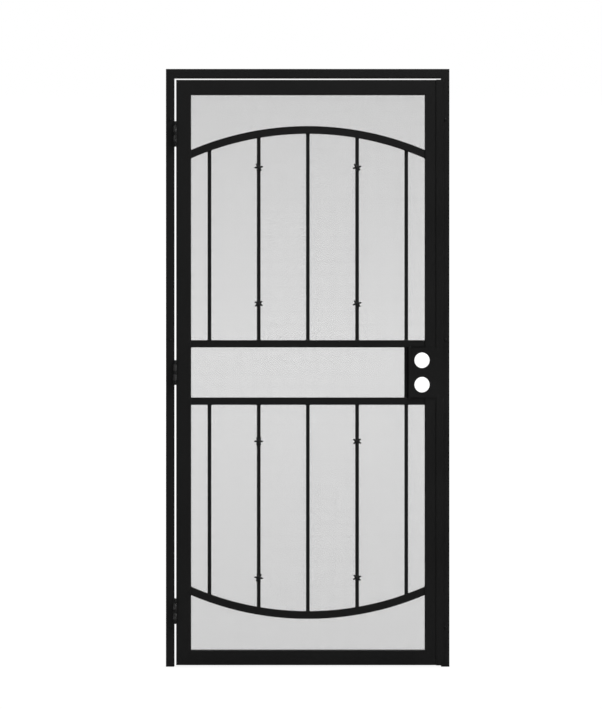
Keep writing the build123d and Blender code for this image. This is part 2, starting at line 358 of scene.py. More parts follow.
tube_coat = coated("tube_coat", BLACK, 0.50)
cast_coat = coated("cast_coat", toned(BLACK, 1.3), 0.46, peel=0.06, peel_scale=330.0, grit=0.5)
plate_coat = coated("plate_coat", BLACK, 0.48, peel=0.016)
# Painted highlight: the leaf's knuckles are painted 2.6 times paler than the black, on top of their
# glossier coat
barrel_coat = coated("barrel_coat", toned(BLACK, 2.6), 0.27, peel=0.008, edge=0.5, shine=0.8)
weld_coat = coated("weld_coat", toned(BLACK, 1.1), 0.42, peel=0.02, peel_scale=900.0)
print("coats", [m.name for m in bpy.data.materials if m.name.endswith("_coat")])

# %% [markdown]
# ## Parts that are not coated steel
# The hinge pins are bare steel, the screen is coated wire in a frame of painted aluminium,
# a vinyl spline holds it there, and its screws are blackened. All were drawn or pressed
# through a die, or cut from wire that was, which leaves faint long lines. A noise that a
# Mapping node stretches gives the lines, and each finish has its own roughness.

# %% Make the drawn finishes
LINE_STRETCH = (0.02, 1.0, 1.0)  # draws the noise out into lines along X
DRAWN_TONES = (0.8, 1.25)
DRAWN_SWING = 0.06
DRAWN_DUST = 0.1


def drawn(name, colour, roughness, metallic=0.0, lines=900.0, depth=0.01):
    """A surface with fine lines along X: depth is their bump in millimetres"""
    material, tree, shader = new_material(name, colour)
    stretched = put(tree, "ShaderNodeMapping", {"Vector": on_object(tree), "Scale": LINE_STRETCH})
    streaks = noise(tree, stretched.outputs[0], lines, 2.0)
    skin = group_node(tree, coat_skin, {"Peel Scale": 1200.0})
    ledges = group_node(tree, settled_dust)["Mask"]

    base = blend_colours(tree, skin["Tone"], *(toned(colour, tone) for tone in DRAWN_TONES))
    base = blend_colours(tree, math_node(tree, "MULTIPLY", ledges, DRAWN_DUST), base, DUST)
    tree.links.new(base, shader.inputs["Base Color"])
    gloss = remap(tree, streaks, *NOISE_RANGE, roughness - DRAWN_SWING, roughness + DRAWN_SWING)
    tree.links.new(gloss, shader.inputs["Roughness"])
    raise_bump(tree, shader, streaks, depth)
    shader.inputs["Metallic"].default_value = metallic
    return material


screen_frame_paint = drawn("screen_frame_paint", (0.012, 0.012, 0.013), 0.42)
wire_coat = drawn("wire_coat", (0.022, 0.022, 0.023), 0.5, lines=400.0)
spline_vinyl = drawn("spline_vinyl", (0.010, 0.010, 0.010), 0.62, depth=0.02)
pin_steel = drawn("pin_steel", (0.030, 0.030, 0.032), 0.36, metallic=0.6)
screw_black = drawn("screw_black", (0.020, 0.020, 0.021), 0.34, metallic=0.5)
print("materials", len(bpy.data.materials))

# %% [markdown]
# ## Finish the CAD nodes
# Every CAD node keeps its shape and gets its finish in the material slot that it has. Its
# name says what it is, so a word in the name chooses the finish.

# %% Give each CAD node its finish
FINISHES = {
    "star": cast_coat, "hinge_pin": pin_steel, "leaf_hinge": barrel_coat, "jamb_hinge": plate_coat,
    "screen_frame": screen_frame_paint, "screen": wire_coat, "lock_box": plate_coat, "strip": plate_coat,
}


def by_name(table, node, otherwise):
    """What a table holds for the first of its words that is in a node's name"""
    return next((entry for word, entry in table.items() if word in node), otherwise)


for node, piece in frame["nodes"].items():
    for place in piece.material_slots:
        place.material = by_name(FINISHES, node, tube_coat)
print("finished", len(frame["nodes"]), "CAD nodes")

# %% [markdown]
# ## Helpers for pieces
# A new piece starts as a small mesh of points, edges or faces, and modifiers make its real
# shape. Their result is only a preview until it is kept, so the evaluated mesh replaces the
# small one and the modifiers go.

# %% Define the piece helpers
def sketch(name, points, edges=(), faces=()):
    """A new object from points in metres"""
    mesh = bpy.data.meshes.new(name)
    mesh.from_pydata([tuple(p) for p in points], edges, faces)
    piece = bpy.data.objects.new(name, mesh)
    bpy.context.scene.collection.objects.link(piece)
    return piece


def keep_result(piece):
    """Turn what a piece's modifiers make of it into its own plain mesh"""
    graph = bpy.context.evaluated_depsgraph_get()
    mesh = bpy.data.meshes.new_from_object(piece.evaluated_get(graph))
    piece.modifiers.clear()
    piece.data = mesh
    mesh.name = piece.name


def triangles_of(piece):
    """How many triangles a piece has"""
    return sum(len(face.vertices) - 2 for face in piece.data.polygons)


def seat_on(piece, body):
    """Let a finished piece ride on its body"""
    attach(piece, body)


print("piece helpers ready")

# %% [markdown]
# ## Ease the square edges
# No real edge is perfectly sharp: shears leave a small flat, a casting is rounder, and paint
# rounds both. That thin round is what catches the light. The big tubes have their rounded
# corners in the CAD model, but the bent arches, the pickets, the castings and the plates
# are square-edged there. A copy stands in for each of those. Its mesh is loose triangles,
# so a Weld modifier joins them first, and a Bevel modifier then cuts only the edges that
# turn by more than a set angle.

# %% Make the eased pieces
EASED_EDGES = {  # millimetres
    "star": 0.7, "arch": 0.6, "lock_box": 0.6, "strip": 0.5, "picket": 0.4,
    "leaf_hinge": 0.5, "jamb_hinge": 0.5, "screen_frame": 0.4,
}
SHARP_ANGLE = math.radians(38)
JOIN_WITHIN = 0.01 * MM
BODIES = {node: body for body, nodes in record["behaviour"]["bodies"].items() for node in nodes}


def ease(node, width):
    """Stand a copy with eased edges in for a CAD node"""
    piece = sketch(f"{node}_eased", [])
    piece.data = frame["nodes"][node].data.copy()
    join = piece.modifiers.new("join", "WELD")
    join.merge_threshold = JOIN_WITHIN
    soft = piece.modifiers.new("soft_edges", "BEVEL")
    soft.width = width * MM
    soft.segments = 2
    soft.limit_method = "ANGLE"
    soft.angle_limit = SHARP_ANGLE
    keep_result(piece)
    seat_on(piece, BODIES[node])
    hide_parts(node)
    return piece


eased = []
for node in frame["nodes"]:
    width = by_name(EASED_EDGES, node, None)
    if width is not None:
        eased.append(ease(node, width))
print(len(eased), "eased pieces have", sum(map(triangles_of, eased)), "triangles")

# %% [markdown]
# ## Helpers for Geometry Nodes
# What repeats or follows a path is made by a tree of Geometry Nodes, run as a modifier whose
# inputs are set by their identifiers. Each tree takes a small mesh and a material, and ends
# in real mesh, because instances would be lost in the export.

# %% Define the helpers for Geometry Nodes
def start_maker(name, inputs):
    """Start a tree that takes a mesh and a material, and gives a mesh"""
    ends = [("Geometry", "Geometry", None), *inputs, ("Material", "Material", None)]
    return start_group(name, "GeometryNodeTree", ends, [("Geometry", "Geometry")])


def finish_tree(tree, geometry, inputs, leave):
    """End a tree in real mesh with its material on"""
    real = put(tree, "GeometryNodeRealizeInstances", {0: geometry}).outputs[0]
    painted = put(tree, "GeometryNodeSetMaterial", {0: real, "Material": inputs["Material"]})
    tree.links.new(painted.outputs[0], leave.inputs["Geometry"])


def run_tree(piece, tree, values):
    """Run a node tree on a piece and keep the result as plain mesh"""
    modifier = piece.modifiers.new(tree.name, "NODES")
    modifier.node_group = tree
    for item in tree.interface.items_tree:
        if item.item_type == "SOCKET" and item.in_out == "INPUT" and item.name in values:
            modifier[item.identifier] = values[item.name]
    keep_result(piece)
    print(piece.name, "has", triangles_of(piece), "triangles")


print("Geometry Nodes helpers ready")

# %% [markdown]
# ## The screen's wires
# The screen is wire cloth: 18 upright wires and 14 level ones to the inch. A see-through
# sheet would stay as clear at a slant, where real cloth closes up, so each wire is a thin
# prism. It is 0.37 mm thick, a little more than such wire is, so that the cloth dims what
# is behind it as much as it does in the photograph: just under three fifths of it is open.
# A tree lays a row of points, moves each a hair, as in real cloth, and stands a wire on it.

# %% Define a layer of wires
INCH = 25.4 * MM
UPRIGHT_PITCH = INCH / 18
LEVEL_PITCH = INCH / 14
WIRE = 0.37 * MM
WIRE_SIDES = 6
WANDER = 0.04 * MM


def wire_layer(tree, inputs, upright, wires_back, seed):
    """One layer of wires, side by side if upright and else one above the other"""
    length, breadth, pitch = inputs["Width"], inputs["Height"], inputs["Level Pitch"]
    if upright:
        length, breadth, pitch = inputs["Height"], inputs["Width"], inputs["Upright Pitch"]
    corner = put(tree, "ShaderNodeSeparateXYZ", {0: inputs["Corner"]}).outputs
    half = math_node(tree, "MULTIPLY", length, 0.5)
    first = math_node(tree, "MULTIPLY", pitch, 0.5)
    back = math_node(tree, "MULTIPLY", inputs["Wire"], wires_back)
    start = put(tree, "ShaderNodeCombineXYZ", {
        0: math_node(tree, "ADD", corner[0], first if upright else half),
        1: math_node(tree, "ADD", corner[1], back),
        2: math_node(tree, "ADD", corner[2], half if upright else first),
    }).outputs[0]
    step = put(tree, "ShaderNodeCombineXYZ", {0 if upright else 2: pitch}).outputs[0]
    count = math_node(tree, "FLOOR", math_node(tree, "DIVIDE", breadth, pitch))
    row = put(tree, "GeometryNodeMeshLine", {"Count": count, "Start Location": start, "Offset": step})
    wander = put(tree, "FunctionNodeRandomValue", {
        0: (-WANDER, -WANDER / 2, -WANDER), 1: (WANDER, WANDER / 2, WANDER), "Seed": seed,
    }, data_type="FLOAT_VECTOR").outputs[0]
    moved = put(tree, "GeometryNodeSetPosition", {"Geometry": row.outputs[0], "Offset": wander})
    radius = math_node(tree, "MULTIPLY", inputs["Wire"], 0.5)
    wire = put(tree, "GeometryNodeMeshCylinder", {
        "Vertices": WIRE_SIDES, "Side Segments": 1, "Radius": radius, "Depth": length,
    }, fill_type="NGON").outputs["Mesh"]
    turn = (0, 0 if upright else math.radians(90), 0)
    stand = {"Points": moved.outputs[0], "Instance": wire, "Rotation": turn}
    return put(tree, "GeometryNodeInstanceOnPoints", stand).outputs[0]


print("wires are", round(UPRIGHT_PITCH / MM, 3), "and", round(LEVEL_PITCH / MM, 3), "mm apart")

# %% [markdown]
# A panel of cloth is two layers, with the level wires right behind the upright ones.

# %% Build the tree for one panel of wires
def wire_panel_group():
    """Wires across one window: its low corner, width and height"""
    tree, inputs, leave = start_group(
        "wire_panel", "GeometryNodeTree",
        [("Corner", "Vector", None), ("Width", "Float", 1.0), ("Height", "Float", 1.0),
         ("Upright Pitch", "Float", UPRIGHT_PITCH), ("Level Pitch", "Float", LEVEL_PITCH),
         ("Wire", "Float", WIRE), ("Seed", "Int", 0)],
        [("Geometry", "Geometry")],
    )
    join = put(tree, "GeometryNodeJoinGeometry")
    for number, upright in enumerate((True, False)):
        seed = math_node(tree, "ADD", inputs["Seed"], number)
        wires_back = number + 0.5  # to the middle of the layer
        layer = wire_layer(tree, inputs, upright, wires_back, seed)
        tree.links.new(layer, join.inputs[0])
    tree.links.new(join.outputs[0], leave.inputs["Geometry"])
    return tree


wire_panel = wire_panel_group()
print("wire_panel has", socket_names(wire_panel))

# %% [markdown]
# The screen has three panels: below the middle rails, between them, and above. They are the
# separate solids of one CAD node, and walking along its edges from any point finds the
# whole of one solid.

# %% Find the screen's three panels
def solids_of(node):
    """The boxes of a CAD node's separate solids, from the lowest up"""
    mesh = bmesh.new()
    mesh.from_mesh(frame["nodes"][node].data)
    bmesh.ops.remove_doubles(mesh, verts=mesh.verts, dist=JOIN_WITHIN)
    unseen = set(mesh.verts)
    boxes = []
    while unseen:
        solid, to_visit = set(), [unseen.pop()]
        while to_visit:
            vertex = to_visit.pop()
            solid.add(vertex)
            near = {edge.other_vert(vertex) for edge in vertex.link_edges} & unseen
            unseen -= near
            to_visit.extend(near)
        low = Vector([min(v.co[axis] for v in solid) for axis in range(3)])
        high = Vector([max(v.co[axis] for v in solid) for axis in range(3)])
        boxes.append((low, high))
    mesh.free()
    return sorted(boxes, key=lambda box: box[0].z)


panels = solids_of("screen")
print("panels", [tuple(round(c, 3) for c in high - low) for low, high in panels])

# %% [markdown]
# One tree places the panel's group three times, each with its own corner and size.

# %% Fill the panels with wires
SEEDS_APART = 10  # no two panels wander alike
wires_tree, enter, leave = start_maker("screen_wires", [("Seed", "Int", 11)])
everything = put(wires_tree, "GeometryNodeJoinGeometry")
for number, (low, high) in enumerate(panels):
    seed = math_node(wires_tree, "ADD", enter["Seed"], SEEDS_APART * number)
    panel = put(wires_tree, "GeometryNodeGroup", {
        "Corner": low, "Width": high.x - low.x, "Height": high.z - low.z, "Seed": seed,
    }, node_tree=wire_panel)
    wires_tree.links.new(panel.outputs[0], everything.inputs[0])

finish_tree(wires_tree, everything.outputs[0], enter, leave)
screen_wires = sketch("screen_wires", [(0, 0, 0)])
run_tree(screen_wires, wires_tree, {"Material": wire_coat})
seat_on(screen_wires, "leaf")
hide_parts("screen")

# %% [markdown]
# ## Weld beads
# The grille is welded: each picket all round its foot and its head, the middle rails and
# the arches to the stiles, and the lock box at its corners. A bead is laid in small steps
# that leave ripples. Beads could be sculpted, but one rule makes them all: the radius swells
# and falls along the path and wanders a little. The path is a line of edges, and Curve to
# Mesh sweeps a small circle along it.

# %% Build the tree for a weld bead
RIPPLE_STEP = 0.34  # from one ring of the sweep to the next, in ripples
UNEVENNESS_SCALE = 260.0
THINNEST, THICKEST = 0.78, 1.12  # what unevenness does to the bead's radius
BEAD_SIDES = 8


def weld_tree_group():
    """Sweep a rippled bead along each line of the mesh"""
    tree, inputs, leave = start_maker(
        "weld_beads",
        [("Bead", "Float", 0.002), ("Ripple", "Float", 0.0015), ("Swell", "Float", 0.16)],
    )
    curve = put(tree, "GeometryNodeMeshToCurve", {0: inputs["Geometry"]}).outputs[0]
    step = math_node(tree, "MULTIPLY", inputs["Ripple"], RIPPLE_STEP)
    fine = put(tree, "GeometryNodeResampleCurve", {"Curve": curve, "Length": step}, mode="LENGTH")
    length = put(tree, "GeometryNodeSplineParameter").outputs["Length"]
    phase = math_node(tree, "MULTIPLY", math_node(tree, "DIVIDE", length, inputs["Ripple"]), math.pi)
    wave = math_node(tree, "ABSOLUTE", math_node(tree, "SINE", phase))
    ripple = math_node(tree, "MULTIPLY_ADD", wave, inputs["Swell"], 1.0)
    rough = noise(tree, put(tree, "GeometryNodeInputPosition").outputs[0], UNEVENNESS_SCALE, 2.0)
    uneven = remap(tree, rough, *NOISE_RANGE, THINNEST, THICKEST)
    radius = math_node(tree, "MULTIPLY", math_node(tree, "MULTIPLY", ripple, uneven), inputs["Bead"])
    circle = put(tree, "GeometryNodeCurvePrimitiveCircle", {"Resolution": BEAD_SIDES, "Radius": 1.0})
    sweep = put(tree, "GeometryNodeCurveToMesh", {
        "Curve": fine.outputs[0], "Profile Curve": circle.outputs[0], "Scale": radius, "Fill Caps": True,
    })
    smooth = put(tree, "GeometryNodeSetShadeSmooth", {"Geometry": sweep.outputs[0]})
    finish_tree(tree, smooth.outputs[0], inputs, leave)
    return tree


weld_beads = weld_tree_group()
print("weld_beads has", socket_names(weld_beads))

# %% [markdown]
# The beads lie where two CAD pieces meet, and most of these places are read from the
# pieces' boxes. A picket's head meets its arch on a slope, so the arch's curve is needed:
# its radius follows from its rise and span, and from its face, which is a rail's.

# %% Measure the arches
rail_low, rail_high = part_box("upper_middle_rail")
arch_low, arch_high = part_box("top_arch")
ARCH_FACE = rail_high.z - rail_low.z
ARCH_RISE = arch_high.z - arch_low.z
HALF_SPAN = (arch_high.x - arch_low.x) / 2
ARCH_RADIUS = (ARCH_RISE**2 + HALF_SPAN**2 - ARCH_FACE**2) / (2 * (ARCH_RISE - ARCH_FACE))
ARCH_INSIDE = ARCH_RADIUS - ARCH_FACE
TOP, BOTTOM = 1, -1  # which way up an arch is


def arch_height(x, way, radius):
    """The height of an arch's inner or outer curve: way is TOP or BOTTOM"""
    low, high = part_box("top_arch" if way == TOP else "bottom_arch")
    middle = (low.x + high.x) / 2
    crown = high.z if way == TOP else low.z
    return crown - way * ARCH_RADIUS + way * math.sqrt(radius**2 - (x - middle) ** 2)


print("arch radius", round(ARCH_RADIUS, 4), "m")

# %% [markdown]
# A sketch of lines is a list of points and the edges between them. Each bead adds its run.

# %% Define the helpers for laying beads
def new_lines():
    """An empty set of lines for a sketch"""
    return {"points": [], "edges": []}


def add_path(lines, points, closed=False):
    """Add a run of points to the lines of a sketch"""
    start = len(lines["points"])
    lines["points"] += points
    last = start + len(points) - 1
    lines["edges"] += [(n, n + 1) for n in range(start, last)]
    if closed:
        lines["edges"].append((last, start))


def cut_square(a0, a1, b0, b1, cut):
    """The corners of a rectangle with its own corners cut off, as pairs"""
    return [(a0 + cut, b0), (a1 - cut, b0), (a1, b0 + cut), (a1, b1 - cut),
            (a1 - cut, b1), (a0 + cut, b1), (a0, b1 - cut), (a0, b0 + cut)]


def lay(name, lines, body, bead, ripple=1.8):
    """Sweep beads, sized in millimetres, along lines and seat them on a body"""
    beads = sketch(name, lines["points"], lines["edges"])
    run_tree(beads, weld_beads, {"Bead": bead * MM, "Ripple": ripple * MM, "Material": weld_coat})
    seat_on(beads, body)


print("bead helpers ready")

# %% [markdown]
# Each picket has a bead all round its foot and its head. Its path cuts the tube's corners,
# because a torch doesn't turn sharply.

# %% Lay the beads round the pickets' ends
PICKETS = range(1, 6)
PICKET_CORNER = 1.2 * MM


def ring_round(low, high, height):
    """A closed run round an upright square tube; height(x) is where it ends"""
    corners = cut_square(low.x, high.x, low.y, high.y, PICKET_CORNER)
    return [Vector((x, y, height(x))) for x, y in corners]


picket_ends = new_lines()
for number in PICKETS:
    for row, way in (("upper", TOP), ("lower", BOTTOM)):
        low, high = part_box(f"{row}_picket_{number}")
        end = low.z if way == TOP else high.z
        add_path(picket_ends, ring_round(low, high, lambda x: end), closed=True)
        slope = ring_round(low, high, lambda x: arch_height(x, way, ARCH_INSIDE))
        add_path(picket_ends, slope, closed=True)
low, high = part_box("lock_picket")
for end in (low.z, high.z):
    add_path(picket_ends, ring_round(low, high, lambda x: end), closed=True)
lay("picket_welds", picket_ends, "leaf", bead=1.6)

# %% [markdown]
# A middle rail or an arch meets a stile on a plain butt joint, with the bead run right round
# the tube. The rails' corners are rounded, so their ring is cut more than the arches'.

# %% Lay the beads of the rails and the arches
RAIL_CORNER = 2.0 * MM
ARCH_CORNER = 0.4 * MM


def end_ring(x, y0, y1, z0, z1, cut):
    """A closed run round the end of a tube that meets a stile at x"""
    return [Vector((x, y, z)) for y, z in cut_square(y0, y1, z0, z1, cut)]


rail_ends = new_lines()
for node in ("upper_middle_rail", "lower_middle_rail"):
    low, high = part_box(node)
    for x in (low.x, high.x):
        add_path(rail_ends, end_ring(x, low.y, high.y, low.z, high.z, RAIL_CORNER), closed=True)
for node, way in (("top_arch", TOP), ("bottom_arch", BOTTOM)):
    low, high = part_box(node)
    for x in (low.x, high.x):
        heights = sorted(arch_height(x, way, radius) for radius in (ARCH_INSIDE, ARCH_RADIUS))
        add_path(rail_ends, end_ring(x, low.y, high.y, *heights, ARCH_CORNER), closed=True)
lay("rail_welds", rail_ends, "leaf", bead=1.5)

# %% [markdown]
# The lock box stands a little proud of the middle rails. It is tacked to them at its two
# left corners, where its top and its underside meet the rails' fronts.

# %% Lay the tacks of the lock box
BOX_TACK = 9 * MM
BOX_TACK_SET = 0.6 * MM  # in from the box's side and out from the rails' fronts

box_low, box_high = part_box("lock_box")
rail_front = rail_low.y
box_tacks = new_lines()
for height in (box_low.z, box_high.z):
    start = Vector((box_low.x + BOX_TACK_SET, rail_front - BOX_TACK_SET, height))
    add_path(box_tacks, [start, start + Vector((BOX_TACK, 0, 0))])
lay("box_welds", box_tacks, "leaf", bead=2.3, ripple=2.6)

# %% [markdown]
# Each cast star lies on the front of its picket, with a short upright tack along either edge
# of the picket. The star's own points hide both from the front.

# %% Lay the tacks of the stars
STAR_TACK = 8 * MM
TACK_IN = 0.4 * MM  # from the picket's edge
TACK_FORWARD = 0.1 * MM  # from the star's flat back

star_tacks = new_lines()
for node in sorted(name for name in frame["nodes"] if "_star_" in name):
    low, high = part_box(node)
    middle = (low + high) / 2
    picket_low, picket_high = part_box(f"upper_picket_{node[-1]}")
    for x in (picket_low.x + TACK_IN, picket_high.x - TACK_IN):
        foot = Vector((x, high.y - TACK_FORWARD, middle.z - STAR_TACK / 2))
        add_path(star_tacks, [foot, foot + Vector((0, 0, STAR_TACK))])
lay("star_welds", star_tacks, "leaf", bead=1.3, ripple=1.6)

# %% [markdown]
# ## Hinge welds
# Each hinge is two plates in the slit between the jamb and the stile, and every knuckle is
# held by its plate. A bead fills the groove that the tube's rounded corner leaves beside
# the plate, at the jamb's knuckles on one side and at the leaf's on the other. Each half's
# beads are a piece of their own, because the leaf's swing away from the jamb's.

# %% Lay the hinge beads
KNUCKLES = (15.6, 20.8, 13.6, 20.8, 15.6)  # heights in millimetres, from the foot up
JAMB_KNUCKLES = (0, 2, 4)
LEAF_KNUCKLES = (1, 3)
GROOVE_IN = 0.9 * MM  # from the tube's side to the middle of the bead
GROOVE_OUT = 0.2 * MM  # from the tube's front
KNUCKLE_INSET = 1.5 * MM  # from a knuckle's end to the bead's


def hinge_lines(half, numbers, groove):
    """Upright lines along some of a hinge half's knuckles, at the (x, y) of a groove"""
    lines = new_lines()
    for place in ("bottom", "middle", "top"):
        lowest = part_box(f"{place}_{half}")[0].z
        for number in numbers:
            foot = lowest + sum(KNUCKLES[:number]) * MM
            top = foot + KNUCKLES[number] * MM
            ends = (foot + KNUCKLE_INSET, top - KNUCKLE_INSET)
            add_path(lines, [Vector((*groove, z)) for z in ends])
    return lines


jamb_low, jamb_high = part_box("hinge_jamb")
stile_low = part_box("hinge_stile")[0]
jamb_groove = (jamb_high.x - GROOVE_IN, jamb_low.y - GROOVE_OUT)
leaf_groove = (stile_low.x + GROOVE_IN, stile_low.y - GROOVE_OUT)
jamb_lines = hinge_lines("jamb_hinge", JAMB_KNUCKLES, jamb_groove)
leaf_lines = hinge_lines("leaf_hinge", LEAF_KNUCKLES, leaf_groove)
lay("jamb_hinge_welds", jamb_lines, "frame", bead=1.5)
lay("leaf_hinge_welds", leaf_lines, "leaf", bead=1.4)

# %% [markdown]
# ## Screen spline
# The cloth is held in a groove on the back of its frame by a vinyl cord that is rolled in
# over it. A curve's own bevel would make it plain and round, but the cord is ribbed, so a
# star-shaped profile is swept round each window. The path's corners are filleted, because
# the cord will not turn sharply.

# %% Roll in the spline
SPLINE_RADIUS = 1.25 * MM
SPLINE_RIBS = 9
SPLINE_INSET = 1.6 * MM  # from the cloth's edge to the middle of the cord
SPLINE_SINK = 0.05 * MM  # from the back of the frame to the cord
RIB_DEPTH = 0.86  # the profile's inner radius, as a share of its outer one


def spline_tree_group():
    """Sweep a ribbed cord round each closed run of the mesh"""
    tree, inputs, leave = start_maker(
        "spline_cord",
        [("Cord", "Float", SPLINE_RADIUS), ("Corner", "Float", 0.004), ("Ribs", "Int", SPLINE_RIBS)],
    )
    curve = put(tree, "GeometryNodeMeshToCurve", {0: inputs["Geometry"]}).outputs[0]
    turn = put(tree, "GeometryNodeFilletCurve", {
        "Curve": curve, "Radius": inputs["Corner"], "Count": 5,
    }, mode="POLY")
    ribbed = put(tree, "GeometryNodeCurveStar", {
        "Points": inputs["Ribs"], "Outer Radius": inputs["Cord"],
        "Inner Radius": math_node(tree, "MULTIPLY", inputs["Cord"], RIB_DEPTH),
    })
    cord = put(tree, "GeometryNodeCurveToMesh", {0: turn.outputs[0], 1: ribbed.outputs[0]})
    finish_tree(tree, cord.outputs[0], inputs, leave)
    return tree


runs = new_lines()
cord_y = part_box("screen_frame")[1].y - SPLINE_RADIUS - SPLINE_SINK
for low, high in panels:
    x0, x1 = low.x + SPLINE_INSET, high.x - SPLINE_INSET
    z0, z1 = low.z + SPLINE_INSET, high.z - SPLINE_INSET
    corners = [(x0, z0), (x1, z0), (x1, z1), (x0, z1)]
    add_path(runs, [Vector((x, cord_y, z)) for x, z in corners], closed=True)
screen_spline = sketch("screen_spline", runs["points"], runs["edges"])
run_tree(screen_spline, spline_tree_group(), {"Material": spline_vinyl})
seat_on(screen_spline, "leaf")

# %% [markdown]
# ## Screws
# The frame is held to the wall by screws through both jambs, and the screen's frame by
# smaller ones from behind. Every head is the same shape at two sizes: a pan head with a
# cross recess. A ready-made cylinder would have no dome, so a profile is spun round.

# %% Turn the head
HEAD = ((0, 2.7), (1.6, 2.66), (3.0, 2.4), (4.0, 1.9), (4.55, 1.2), (4.75, 0.5), (4.75, 0.0),
        (3.3, 0.0), (3.3, -1.5), (0, -1.5))  # radius and height in millimetres, from the crown
HEAD_STEPS = 28


def turned(name, profile, steps):
    """A closed solid from (radius, height) pairs spun round Y, from the tip to the foot"""
    mesh = bmesh.new()
    turns = [2 * math.pi * n / steps for n in range(steps)]
    rings = []
    for radius, height in profile:
        places = [(radius * math.cos(a), -height, radius * math.sin(a)) for a in turns]
        rings.append([mesh.verts.new(place) for place in (places if radius else places[:1])])
    for upper, lower in zip(rings, rings[1:]):
        for n in range(steps):
            following = (n + 1) % steps
            corners = [upper[n % len(upper)], lower[n % len(lower)],
                       lower[following % len(lower)], upper[following % len(upper)]]
            mesh.faces.new(list(dict.fromkeys(corners)))
    bmesh.ops.recalc_face_normals(mesh, faces=mesh.faces)
    piece = sketch(name, [])
    mesh.to_mesh(piece.data)
    mesh.free()
    return piece


screw_head = turned("screw_head", [(r * MM, h * MM) for r, h in HEAD], HEAD_STEPS)
print("the turned head has", triangles_of(screw_head), "triangles")

# %% [markdown]
# A real head is punched after it is turned, and so is this one: a Boolean modifier takes two
# crossed bars out of it. The domed faces are then shaded smooth, and edges that turn more
# than the sharp angle stay crisp.

# %% Punch the cross
CROSS_REACH, CROSS_WIDTH, CROSS_DEPTH = 5.4 * MM, 1.2 * MM, 1.6 * MM
CROSS_TAPER = 0.45  # the recess's size at its foot, as a share of that at its mouth


def cross_cutter(reach, width, top, depth):
    """Two crossed bars that narrow towards the bottom of the recess"""
    mesh = bmesh.new()
    for across, along in ((reach, width), (width, reach)):
        for vertex in bmesh.ops.create_cube(mesh, size=1.0)["verts"]:
            deep = vertex.co.y > 0
            taper = CROSS_TAPER if deep else 1.0
            vertex.co.x *= across * taper
            vertex.co.z *= along * taper
            vertex.co.y = depth - top if deep else -top - width
    piece = sketch("cutter", [])
    mesh.to_mesh(piece.data)
    mesh.free()
    return piece


cutter = cross_cutter(CROSS_REACH, CROSS_WIDTH, HEAD[0][1] * MM, CROSS_DEPTH)
recess = screw_head.modifiers.new("recess", "BOOLEAN")
recess.object = cutter
recess.operation = "DIFFERENCE"
recess.solver = "EXACT"
recess.use_self = True
keep_result(screw_head)
bpy.data.objects.remove(cutter)
screw_head.data.shade_smooth()
screw_head.data.set_sharp_from_angle(angle=SHARP_ANGLE)
print("the punched head has", triangles_of(screw_head), "triangles")

# %% [markdown]
# Geometry Nodes put a copy of the head on each point, each with its own turn, because no
# two screws stop alike. The tree takes the head as an object, so one tree serves both
# sizes and both sides of the door.

# %% Build the tree that sets screws
def screw_tree_group():
    """Put a copy of a head on each point, at a scale and with a random turn"""
    tree, inputs, leave = start_maker(
        "set_screws",
        [("Head", "Object", None), ("Scale", "Float", 1.0), ("Facing", "Float", 0.0), ("Seed", "Int", 3)],
    )
    head = put(tree, "GeometryNodeObjectInfo", {"Object": inputs["Head"]})
    points = put(tree, "GeometryNodeMeshToPoints", {0: inputs["Geometry"]}).outputs[0]
    spin = put(tree, "FunctionNodeRandomValue", {
        2: 0.0, 3: math.pi, "Seed": inputs["Seed"],
    }, data_type="FLOAT")
    turn = put(tree, "ShaderNodeCombineXYZ", {1: spin.outputs[1], 2: inputs["Facing"]}).outputs[0]
    size = put(tree, "ShaderNodeCombineXYZ", {axis: inputs["Scale"] for axis in range(3)})
    placed = put(tree, "GeometryNodeInstanceOnPoints", {
        "Points": points, "Instance": head.outputs["Geometry"], "Rotation": turn, "Scale": size.outputs[0],
    })
    finish_tree(tree, placed.outputs[0], inputs, leave)
    return tree


TOWARDS_FRONT, TOWARDS_BACK = 0.0, math.pi
screw_tree = screw_tree_group()


def set_screws(name, points, scale, facing, finish, body):
    """Screws on a list of points, facing the door's front or its back"""
    screws = sketch(name, points)
    values = {"Head": screw_head, "Scale": scale, "Facing": facing, "Material": finish}
    run_tree(screws, screw_tree, values)
    seat_on(screws, body)


print("set_screws has", socket_names(screw_tree))

# %% [markdown]
# The record of the CAD model lists the holes in the jambs, so the heights of their screws
# are read from it. The smaller screws go round the screen's frame, evenly spaced, except
# beside the lock box.

# %% Set the screws
def hole_heights():
    """Heights of each jamb's screw holes, from the bolt patterns in the record"""
    heights = set()
    for mount in record["mounts"]:
        if mount["kind"] == "bolt_pattern":
            middle = mount["pos_m"][2]
            reach = mount["dims"].get("spacing_y_mm", 0.0) * MM / 2
            heights |= {middle - reach, middle + reach}
    return sorted(heights)


jamb_points = []
for node in ("hinge_jamb", "strike_jamb"):
    low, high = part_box(node)
    jamb_points += [Vector(((low.x + high.x) / 2, low.y, z)) for z in hole_heights()]
set_screws("jamb_screws", jamb_points, 1.0, TOWARDS_FRONT, plate_coat, "frame")

